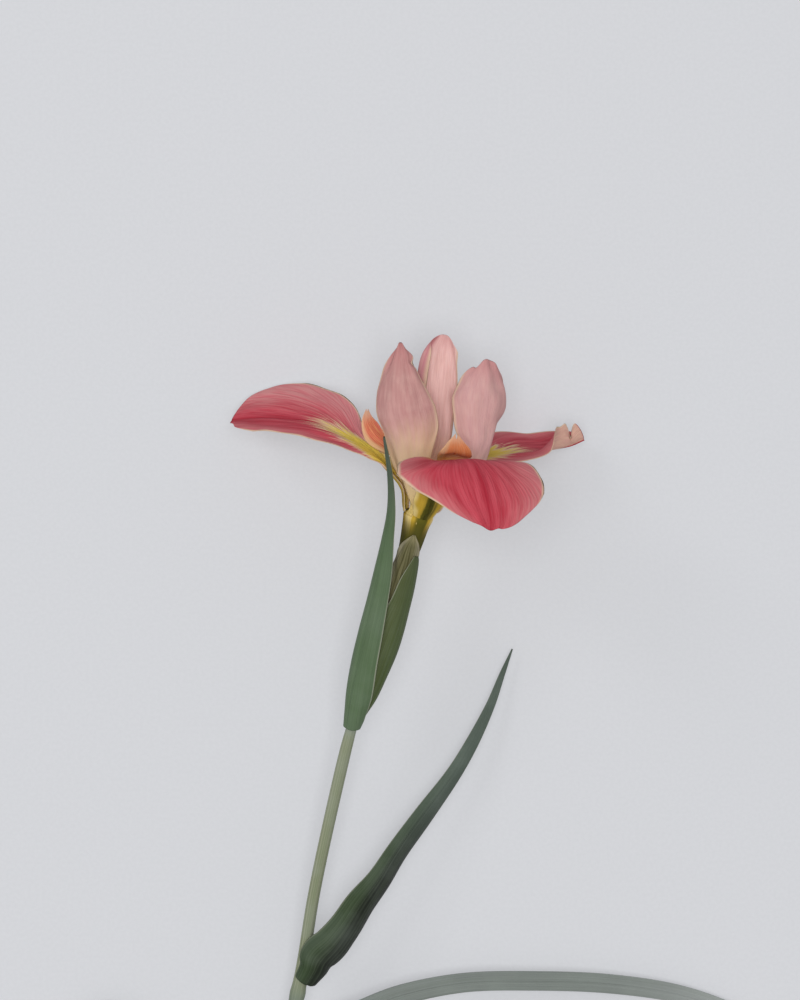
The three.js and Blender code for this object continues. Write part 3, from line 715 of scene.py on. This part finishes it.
# Painted light and shade on the stem leaf: its left half takes the first green below as a painted lit
# side, and its right half takes the near black green as painted shade. The lower left leaf wears the
# first green all over as its own colour.
LEAF_GREEN_AND_LIT_HALF = colour(44, 62, 32)
PAINTED_SHADE_LEAF = colour(14, 18, 13)
GREY_LEAF = colour(84, 96, 88)
ARCH_NEAR = colour(128, 134, 131)
ARCH_FAR = colour(176, 180, 180)
LEAF_LINE = colour(116, 130, 104)
LEAF_VEIN = colour(40, 50, 34)
LEAF_BLOOM = colour(150, 160, 152)
LEAF_RIM = colour(176, 178, 158)

TABLE_TONE = colour(158, 159, 162)
TABLE_GRAIN = colour(155, 156, 159)


# ---- materials -----------------------------------------------------------------------------------

class Paint:
    """A material's nodes, built by short calls. Numbers and sockets can be mixed as inputs."""

    def __init__(self, name):
        self.material = bpy.data.materials.new(name)
        self.material.use_nodes = True
        self.tree = self.material.node_tree
        self.tree.nodes.clear()

    def node(self, kind, **settings):
        made = self.tree.nodes.new(kind)
        for key, value in settings.items():
            setattr(made, key, value)
        return made

    def feed(self, socket, value):
        if isinstance(value, bpy.types.NodeSocket):
            self.tree.links.new(value, socket)
        else:
            socket.default_value = value

    def math(self, operation, first, second=0.0):
        made = self.node("ShaderNodeMath", operation=operation)
        for socket, value in zip(made.inputs, (first, second)):
            self.feed(socket, value)
        return made.outputs[0]

    def times(self, first, second):
        return self.math("MULTIPLY", first, second)

    def plus(self, first, second):
        return self.math("ADD", first, second)

    def minus(self, first, second):
        return self.math("SUBTRACT", first, second)

    def ramp(self, value, start, end, low=0.0, high=1.0):
        """value eased from low at start to high at end."""
        made = self.node("ShaderNodeMapRange", interpolation_type="SMOOTHSTEP")
        for socket, number in zip(made.inputs, (value, start, end, low, high)):
            self.feed(socket, number)
        return made.outputs[0]

    def mix(self, factor, first, second):
        made = self.node("ShaderNodeMix", data_type="RGBA")
        self.feed(made.inputs[0], factor)
        self.feed(made.inputs[6], first)
        self.feed(made.inputs[7], second)
        return made.outputs[2]

    def petal(self):
        """The three numbers that the mesh's petal attribute holds."""
        read = self.node("ShaderNodeAttribute", attribute_type="GEOMETRY", attribute_name="petal")
        parts = self.node("ShaderNodeSeparateXYZ")
        self.tree.links.new(read.outputs["Vector"], parts.inputs[0])
        return parts.outputs

    def vector(self, x, y, z=0.0):
        made = self.node("ShaderNodeCombineXYZ")
        for socket, value in zip(made.inputs, (x, y, z)):
            self.feed(socket, value)
        return made.outputs[0]

    def noise(self, vector, scale, detail=2.0):
        made = self.node("ShaderNodeTexNoise")
        self.feed(made.inputs["Vector"], vector)
        self.feed(made.inputs["Scale"], scale)
        self.feed(made.inputs["Detail"], detail)
        return made.outputs[0]

    def streaks(self, across, along, closeness, shortness, layer=0.0, detail=2.0):
        """Streaks that run along a piece. A different layer gives a different set of them."""
        stretched = self.vector(self.times(across, closeness), self.times(along, shortness), layer)
        return self.noise(stretched, 1.0, detail)

    def place(self):
        return self.node("ShaderNodeTexCoord").outputs["Object"]

    def finish(self, base, roughness, height, depth, see_through=0.0, gloss=0.3):
        """The surface itself: base colour, roughness, a bump of the given depth in metres, and
        light let through."""
        bump = self.node("ShaderNodeBump")
        bump.inputs["Strength"].default_value = 1.0
        bump.inputs["Distance"].default_value = depth
        self.feed(bump.inputs["Height"], height)
        surface = self.node("ShaderNodeBsdfPrincipled")
        self.feed(surface.inputs["Base Color"], base)
        self.feed(surface.inputs["Roughness"], roughness)
        surface.inputs["Specular IOR Level"].default_value = gloss
        self.feed(surface.inputs["Normal"], bump.outputs[0])
        result = surface.outputs[0]
        if see_through:
            result = self.let_through(result, base, see_through)
        output = self.node("ShaderNodeOutputMaterial")
        self.tree.links.new(result, output.inputs["Surface"])
        return self.material

    def let_through(self, surface, base, share):
        """The surface with a share of the light let through it, in its own colour."""
        translucent = self.node("ShaderNodeBsdfTranslucent")
        self.feed(translucent.inputs["Color"], base)
        blend = self.node("ShaderNodeMixShader")
        blend.inputs[0].default_value = share
        self.tree.links.new(surface, blend.inputs[1])
        self.tree.links.new(translucent.outputs[0], blend.inputs[2])
        return blend.outputs[0]


def veins(paint, t, v, pivot, closeness):
    """Streaks that fan out from a pivot on the midrib: a soft broad set and a fine one, each from
    0 to 1."""
    ahead = paint.math("MAXIMUM", paint.minus(t, pivot), VEIN_START)
    sideways = paint.times(v, VEIN_SPREAD)
    angle = paint.math("ARCTAN2", sideways, paint.times(ahead, VEIN_REACH))
    broad = paint.streaks(angle, t, closeness, 4.0, detail=3.0)
    fine = paint.streaks(angle, t, closeness * 4.5, 12.0, layer=3.0)
    return paint.ramp(broad, 0.3, 0.7), paint.ramp(fine, 0.3, 0.7)


def haft_colour(paint, v, broad):
    """The narrow foot of a petal: olive along the middle, gold and then cream at its margins."""
    across = paint.plus(paint.math("ABSOLUTE", v), paint.times(broad, 0.25))
    inner = paint.mix(paint.ramp(across, 0.3, 0.62), OLIVE, GOLD)
    return paint.mix(paint.ramp(across, 0.72, 1.05), inner, FOOT_CREAM)


def fall_blade_colour(paint, t, v, broad, fine, haft, far_side, pale_far):
    """The broad part of a fall: crimson with darker fanned veins, paler towards its margins."""
    width = paint.math("ABSOLUTE", v)
    crimson = paint.mix(paint.ramp(broad, 0.0, 1.0, 0.3, 0.95), DEEP_CRIMSON, CRIMSON)
    crimson = paint.mix(paint.times(fine, 0.2), crimson, ROSE)
    pale = paint.mix(paint.ramp(fine, 0.0, 1.0, 0.35, 0.8), ROSE, PALE_ROSE)
    towards_far = paint.plus(paint.times(v, float(far_side)), paint.times(fine, 0.12))
    blade = paint.mix(paint.ramp(towards_far, 0.12, 0.85, 0.0, pale_far), crimson, pale)
    blade = paint.mix(paint.ramp(width, 0.5, 0.98, 0.0, 0.6), blade, pale)
    on_midrib = paint.ramp(width, 0.0, 0.07, 1.0, 0.0)
    midline = paint.times(on_midrib, paint.ramp(t, haft, haft + 0.3, 0.0, 0.8))
    return paint.mix(midline, blade, DEEP_CRIMSON)


def with_signal(paint, blade, t, v, broad, fine, signal):
    """The fall's signal: solid yellow on the midrib, breaking into cream and yellow feathers along
    the veins."""
    spread = paint.ramp(t, signal - 0.3, signal, 0.9, 0.1)
    feather = paint.times(paint.plus(fine, broad), 0.24)
    reach = paint.minus(paint.plus(spread, feather), paint.math("ABSOLUTE", v))
    ends = paint.plus(paint.minus(signal, t), paint.times(feather, 0.3))
    edge = paint.times(paint.ramp(reach, 0.02, 0.2), paint.ramp(ends, 0.02, 0.1))
    core = paint.times(paint.ramp(reach, 0.12, 0.36), paint.ramp(ends, 0.05, 0.15))
    return paint.mix(core, paint.mix(edge, blade, CREAM), YELLOW)


def fall_material(name, signal, haft, far_side, pale_far):
    """A fall. signal and haft are how far they reach along it; far_side is -1 or 1, the half that
    pales by pale_far."""
    paint = Paint(name)
    t, v, outer = paint.petal()
    width = paint.math("ABSOLUTE", v)
    broad, fine = veins(paint, t, v, haft, 9.0)
    inner_face = fall_blade_colour(paint, t, v, broad, fine, haft, far_side, pale_far)
    inner_face = with_signal(paint, inner_face, t, v, broad, fine, signal)
    outer_face = paint.mix(paint.times(fine, 0.5), PEACH, PALE_ROSE)
    base = paint.mix(outer, inner_face, outer_face)
    past_haft = paint.ramp(t, haft, haft + 0.08)
    rim = paint.times(paint.ramp(width, 0.93, 0.985, 0.0, 0.95), past_haft)
    base = paint.mix(rim, base, CREAM)
    inner_haft = paint.mix(paint.ramp(width, 0.5, 0.95), YELLOW, CREAM)
    haft_tone = paint.mix(outer, inner_haft, haft_colour(paint, v, broad))
    base = paint.mix(paint.ramp(t, haft - 0.06, haft + 0.06, 1.0, 0.0), base, haft_tone)
    height = paint.plus(paint.times(fine, 0.5), paint.times(broad, 0.5))
    roughness = paint.ramp(broad, 0.0, 1.0, 0.7, 0.58)
    return paint.finish(base, roughness, height, 0.0002, see_through=0.12, gloss=0.12)


def standard_material(name, tone, folded, foot_end):
    """A standard: pale rose with long fine veins and soft cross wrinkles, cream at its margin,
    cream and gold at its foot, as far as foot_end, there also lighter as painted light against the
    shade round the flower's heart. folded is the colour of the outer part to the right of the midrib."""
    paint = Paint(name)
    t, v, _ = paint.petal()
    width = paint.math("ABSOLUTE", v)
    long_lines = paint.streaks(v, t, 9.0, 3.0, detail=3.0)
    fine = paint.streaks(v, t, 44.0, 9.0, layer=5.0)
    wrinkle = paint.streaks(v, t, 4.0, 12.0, layer=8.0, detail=4.0)
    base = paint.mix(paint.ramp(v, 0.3, 0.5), tone, folded)
    base = paint.mix(paint.ramp(long_lines, 0.36, 0.68, 0.0, 0.4), base, STANDARD_LIGHT_LINE)
    base = paint.mix(paint.ramp(fine, 0.36, 0.6, 0.2, 0.0), base, STANDARD_VEIN)
    base = paint.mix(paint.ramp(wrinkle, 0.42, 0.7, 0.0, 0.25), base, STANDARD_WRINKLE)
    base = paint.mix(paint.ramp(t, 0.78, 1.0, 0.0, 0.4), base, STANDARD_TIP)
    base = paint.mix(paint.ramp(width, 0.84, 0.985, 0.0, 0.85), base, CREAM)
    ragged_t = paint.plus(t, paint.times(long_lines, 0.14))
    foot = paint.ramp(ragged_t, foot_end, foot_end + 0.3, 1.0, 0.0)
    # the cream and gold foot, lightened as painted light against the shade at the heart
    base = paint.mix(foot, base, STANDARD_CREAM_FOOT_AND_PAINTED_LIGHT)
    base = paint.mix(paint.ramp(t, 0.06, foot_end, 1.0, 0.0), base, STANDARD_GOLD_FOOT_AND_PAINTED_LIGHT)
    height = paint.plus(paint.times(wrinkle, 0.7), paint.times(fine, 0.3))
    roughness = paint.ramp(fine, 0.3, 0.7, 0.6, 0.7)
    return paint.finish(base, roughness, height, 0.0004, see_through=0.15, gloss=0.12)


def style_material(name, orange):
    """A style arm: salmon orange, paling to peach along its upturned crest, with fine veins."""
    paint = Paint(name)
    t, v, _ = paint.petal()
    lines = paint.streaks(v, t, 12.0, 4.0)
    base = paint.mix(paint.ramp(lines, 0.38, 0.64), orange, STYLE_VEIN)
    crest = paint.minus(paint.math("ABSOLUTE", v), paint.times(v, 0.3))
    base = paint.mix(paint.ramp(crest, 0.5, 1.0, 0.0, 0.85), base, STYLE_CREST)
    base = paint.mix(paint.ramp(t, 0.72, 0.95, 0.0, 0.75), base, STYLE_TIP)
    # paler foot: painted light against the shade under the arm
    base = paint.mix(paint.ramp(t, 0.1, 0.4, 0.8, 0.0), base, STYLE_ARM_FOOT_AND_PAINTED_LIGHT)
    return paint.finish(base, 0.62, lines, 0.0003, see_through=0.15, gloss=0.15)


def tube_material():
    """The tube under the petals: it carries on the olive, gold and cream bands of their feet."""
    paint = Paint("perianth_tube")
    t, x, y = paint.petal()
    turn = paint.math("ARCTAN2", y, x)
    streak = paint.streaks(x, y, 6.0, 6.0, layer=t, detail=3.0)
    from_fall = paint.times(paint.minus(turn, math.radians(110.0)), 3.0)
    lean = paint.minus(paint.times(streak, 1.2), paint.math("COSINE", from_fall))
    petal_bands = paint.mix(paint.ramp(lean, -0.1, 0.7), OLIVE, GOLD)
    petal_bands = paint.mix(paint.ramp(lean, 1.0, 1.5), petal_bands, FOOT_CREAM)
    rim = (len(TUBE) - 1) / (len(TUBE) + len(THROAT) - 1)
    base = paint.mix(paint.ramp(t, rim - 0.19, rim + 0.01), TUBE_FOOT, petal_bands)
    base = paint.mix(paint.ramp(t, rim - 0.35, rim - 0.1, 0.6, 0.0), base, TUBE_MIDDLE)
    return paint.finish(base, 0.7, streak, 0.0001, gloss=0.1)


def leaf_material(name, left, right, far, far_from, bloom, pale_rim):
    """A leaf or green sheath with one colour to the left of its midrib, one to the right and one
    from far_from on towards its tip; fine parallel veins, a waxy bloom in soft patches and a pale
    margin."""
    paint = Paint(name)
    t, v, _ = paint.petal()
    width = paint.math("ABSOLUTE", v)
    lines = paint.streaks(v, t, 16.0, 1.6, detail=3.0)
    fine = paint.streaks(v, t, 70.0, 4.0, layer=4.0, detail=1.0)
    patches = paint.noise(paint.place(), 90.0, 3.0)
    side_shift = paint.plus(v, paint.times(lines, 0.3))
    # On the stem leaf this split is painted light and shade: a lit left half against a shaded right
    # half.
    base = paint.mix(paint.ramp(side_shift, -0.45, 0.35), left, right)
    base = paint.mix(paint.ramp(t, far_from - 0.16, far_from + 0.16), base, far)
    base = paint.mix(paint.ramp(lines, 0.4, 0.7, 0.0, 0.2), base, LEAF_LINE)
    base = paint.mix(paint.ramp(fine, 0.35, 0.65, 0.25, 0.0), base, LEAF_VEIN)
    base = paint.mix(paint.ramp(patches, 0.3, 0.75, 0.0, bloom), base, LEAF_BLOOM)
    base = paint.mix(paint.ramp(width, 0.9, 0.985, 0.0, pale_rim), base, LEAF_RIM)
    height = paint.plus(paint.times(lines, 0.6), paint.times(fine, 0.4))
    return paint.finish(base, paint.ramp(patches, 0.3, 0.7, 0.5, 0.64), height, 0.0002, gloss=0.2)


def paper_material():
    """The dry bract: beige green paper with long brown veins."""
    paint = Paint("papery_bract")
    t, v, _ = paint.petal()
    lines = paint.streaks(v, t, 12.0, 1.2, detail=3.0)
    ragged_width = paint.plus(paint.math("ABSOLUTE", v), paint.times(lines, 0.5))
    base = paint.mix(paint.ramp(lines, 0.36, 0.64), PAPER_VEIN, PAPER)
    base = paint.mix(paint.ramp(ragged_width, 0.6, 1.1, 0.0, 0.85), base, PAPER_MARGIN)
    base = paint.mix(paint.ramp(t, 0.75, 1.0, 0.0, 0.7), base, PAPER_TIP)
    return paint.finish(base, 0.75, lines, 0.0003, see_through=0.2, gloss=0.1)


def stem_material():
    """The stem: pale grey green under a waxy bloom, with fine lines along it and a darker foot."""
    paint = Paint("stem")
    t, x, y = paint.petal()
    lines = paint.streaks(x, y, 9.0, 9.0, layer=t)
    bloom = paint.noise(paint.place(), 120.0, 3.0)
    base = paint.mix(paint.ramp(lines, 0.38, 0.64), STEM_LINE, STEM_GREEN)
    base = paint.mix(paint.ramp(bloom, 0.35, 0.7, 0.0, 0.25), base, STEM_BLOOM)
    base = paint.mix(paint.ramp(t, 0.92, 1.0, 0.0, 0.7), base, STEM_NECK)
    base = paint.mix(paint.ramp(t, 0.26, 0.34, 0.8, 0.0), base, STEM_FOOT)
    return paint.finish(base, paint.ramp(bloom, 0.3, 0.7, 0.5, 0.66), lines, 0.00015, gloss=0.2)


def stamen_material():
    """A stamen: cream filament and a powdery pale yellow anther."""
    paint = Paint("stamen")
    t, _, _ = paint.petal()
    powder = paint.noise(paint.place(), 1400.0)
    base = paint.mix(paint.ramp(t, 0.42, 0.5), FILAMENT, ANTHER)
    base = paint.mix(paint.ramp(powder, 0.4, 0.65, 0.0, 0.5), base, POLLEN)
    return paint.finish(base, 0.75, powder, 0.0002, gloss=0.15)


FALL_LOOKS = {
    "fall_left": {"signal": 0.66, "haft": 0.36, "far_side": -1, "pale_far": 0.9},
    "fall_front": {"signal": 0.42, "haft": 0.47, "far_side": 1, "pale_far": 0.3},
    "fall_right": {"signal": 0.63, "haft": 0.38, "far_side": -1, "pale_far": 0.3},
}
STANDARD_LOOKS = {
    "standard_left": {"tone": LEFT_STANDARD, "folded": LEFT_STANDARD, "foot_end": 0.38},
    # the back standard's tone is painted light against the shade of its neighbours
    "standard_back": {"tone": BACK_STANDARD_PAINTED_LIGHT, "folded": BACK_FOLDED_OVER, "foot_end": 0.28},
    "standard_right": {"tone": RIGHT_STANDARD, "folded": RIGHT_FOLDED_OVER, "foot_end": 0.2},
}
STYLE_LOOKS = {
    "style_arm_left": {"orange": SHADED_ORANGE},
    "style_arm_front": {"orange": OPEN_ORANGE},
    "style_arm_right": {"orange": SHADED_ORANGE},
}
LEAF_LOOKS = {
    "outer_spathe": {
        "left": SHEATH, "right": SHEATH, "far": SHEATH_TIP,
        "far_from": 0.85, "bloom": 0.12, "pale_rim": 0.8,
    },
    "inner_spathe": {
        "left": INNER_SHEATH, "right": INNER_SHEATH_RIGHT, "far": INNER_SHEATH,
        "far_from": 1.0, "bloom": 0.06, "pale_rim": 0.7,
    },
    "stem_leaf": {
        # painted light on the left half, painted shade on the right half
        "left": LEAF_GREEN_AND_LIT_HALF, "right": PAINTED_SHADE_LEAF, "far": GREY_LEAF,
        "far_from": 0.6, "bloom": 0.12, "pale_rim": 0.3,
    },
    "lower_leaf_right": {
        "left": ARCH_NEAR, "right": ARCH_NEAR, "far": ARCH_FAR,
        "far_from": 0.75, "bloom": 0.2, "pale_rim": 0.0,
    },
    "lower_leaf_left": {
        "left": LEAF_GREEN_AND_LIT_HALF, "right": LEAF_GREEN_AND_LIT_HALF, "far": GREY_LEAF,
        "far_from": 0.6, "bloom": 0.15, "pale_rim": 0.0,
    },
}
MATERIALS = {
    **{node: fall_material(node, **looks) for node, looks in FALL_LOOKS.items()},
    **{node: standard_material(node, **looks) for node, looks in STANDARD_LOOKS.items()},
    **{node: style_material(node, **looks) for node, looks in STYLE_LOOKS.items()},
    **{node: leaf_material(node, **looks) for node, looks in LEAF_LOOKS.items()},
    "papery_bract": paper_material(),
}


# ---- pieces --------------------------------------------------------------------------------------

FLOWER = ("fall", "standard", "style")
PETAL_GRID = (140, 84)  # rows along a petal and columns across it
LEAF_GRID = (150, 44)
STAMEN_GRID = (48, 20)  # rows along a stamen and sides round it
STEM_GRID = (240, 40)
TUBE_GRID = (108, 48)


def add_piece(node, mesh, material):
    """One visible piece in the place of its CAD node."""
    mesh.materials.append(material)
    piece = bpy.data.objects.new("visible_" + node, mesh)
    bpy.context.scene.collection.objects.link(piece)
    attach(piece, "root")
    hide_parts(node)


for node, form in BLADES.items():
    flower = node.startswith(FLOWER)
    thickness, grid = (PETAL, PETAL_GRID) if flower else (LEAF, LEAF_GRID)
    add_piece(node, blade_mesh(node, form, thickness, *grid), MATERIALS[node])
stamen_look = stamen_material()
for node, places in STAMENS.items():
    add_piece(node, rod_mesh(node, places, *STAMEN_GRID), stamen_look)
add_piece("stem", rod_mesh("stem", STEM, *STEM_GRID, stem_shape), stem_material())
tube = rod_mesh("perianth_tube", TUBE + THROAT, *TUBE_GRID, tube_shape)
add_piece("perianth_tube", tube, tube_material())


# ---- table, light and camera ---------------------------------------------------------------------

TABLE_MIDDLE = Vector((0, 0, 0))
TABLE_REACH = 3.0  # metres from there to the table's sides
TABLE_GLOW = 0.89  # the table is lit from within too, like a light table, so shadows stay faint
SKY = 0.42  # brightness of the white all round
OVERHEAD = 26.0  # watts of the broad lamp above, whose shadows mostly hide under the pieces
KEY = 8.0  # watts of the lamp at the upper left, which gives the petals some form
SENSOR = 36.0  # millimetres
FARTHEST = 50.0  # metres that the camera sees


def table():
    """A wide plain pale table with a fine paper grain."""
    mesh = bpy.data.meshes.new("table")
    sides = (-TABLE_REACH, TABLE_REACH)
    corners = [(x, y, 0) for y in sides for x in sides]
    mesh.from_pydata(corners, [], [(0, 1, 3, 2)])
    paint = Paint("table")
    grain = paint.noise(paint.place(), 900.0)
    tone = paint.mix(paint.ramp(grain, 0.3, 0.7), TABLE_TONE, TABLE_GRAIN)
    mesh.materials.append(paint.finish(tone, 0.9, grain, 0.00002, gloss=0.0))
    surface = paint.tree.nodes["Principled BSDF"]
    surface.inputs["Emission Color"].default_value = TABLE_TONE
    surface.inputs["Emission Strength"].default_value = TABLE_GLOW
    top = bpy.data.objects.new("table", mesh)
    bpy.context.scene.collection.objects.link(top)


def area_light(name, place, size, power):
    """A square lamp that shines at the middle of the table. Its place and size are in metres."""
    light = bpy.data.lights.new(name, "AREA")
    light.shape = "SQUARE"
    light.size = size
    light.energy = power
    lamp = bpy.data.objects.new(name, light)
    lamp.location = place
    shines = TABLE_MIDDLE - Vector(place)
    lamp.rotation_euler = shines.to_track_quat("-Z", "Y").to_euler()
    bpy.context.scene.collection.objects.link(lamp)


def light_room():
    """Soft white studio light from all round, most of it from above."""
    world = bpy.data.worlds.new("studio")
    world.use_nodes = True
    background = world.node_tree.nodes["Background"]
    background.inputs["Color"].default_value = (1.0, 1.0, 1.0, 1.0)
    background.inputs["Strength"].default_value = SKY
    bpy.context.scene.world = world
    area_light("overhead", (0, 0, 2.2), 0.9, OVERHEAD)
    area_light("key", (-1.2, 0.9, 1.4), 0.8, KEY)


def camera():
    """Straight above the table, the flower at the top of the picture."""
    lens = bpy.data.cameras.new("camera")
    lens.sensor_fit = "VERTICAL"
    lens.sensor_height = SENSOR
    lens.lens = SENSOR * CAMERA_DISTANCE / VIEW_HEIGHT
    lens.clip_end = FARTHEST
    eye = bpy.data.objects.new("camera", lens)
    eye.location = (np.array(VIEW_CENTRE) + ORIGIN + [0, 0, CAMERA_DISTANCE]) * MILLIMETRE
    bpy.context.scene.collection.objects.link(eye)
    bpy.context.scene.camera = eye


table()
light_room()
camera()
bpy.context.scene.view_settings.view_transform = "Standard"
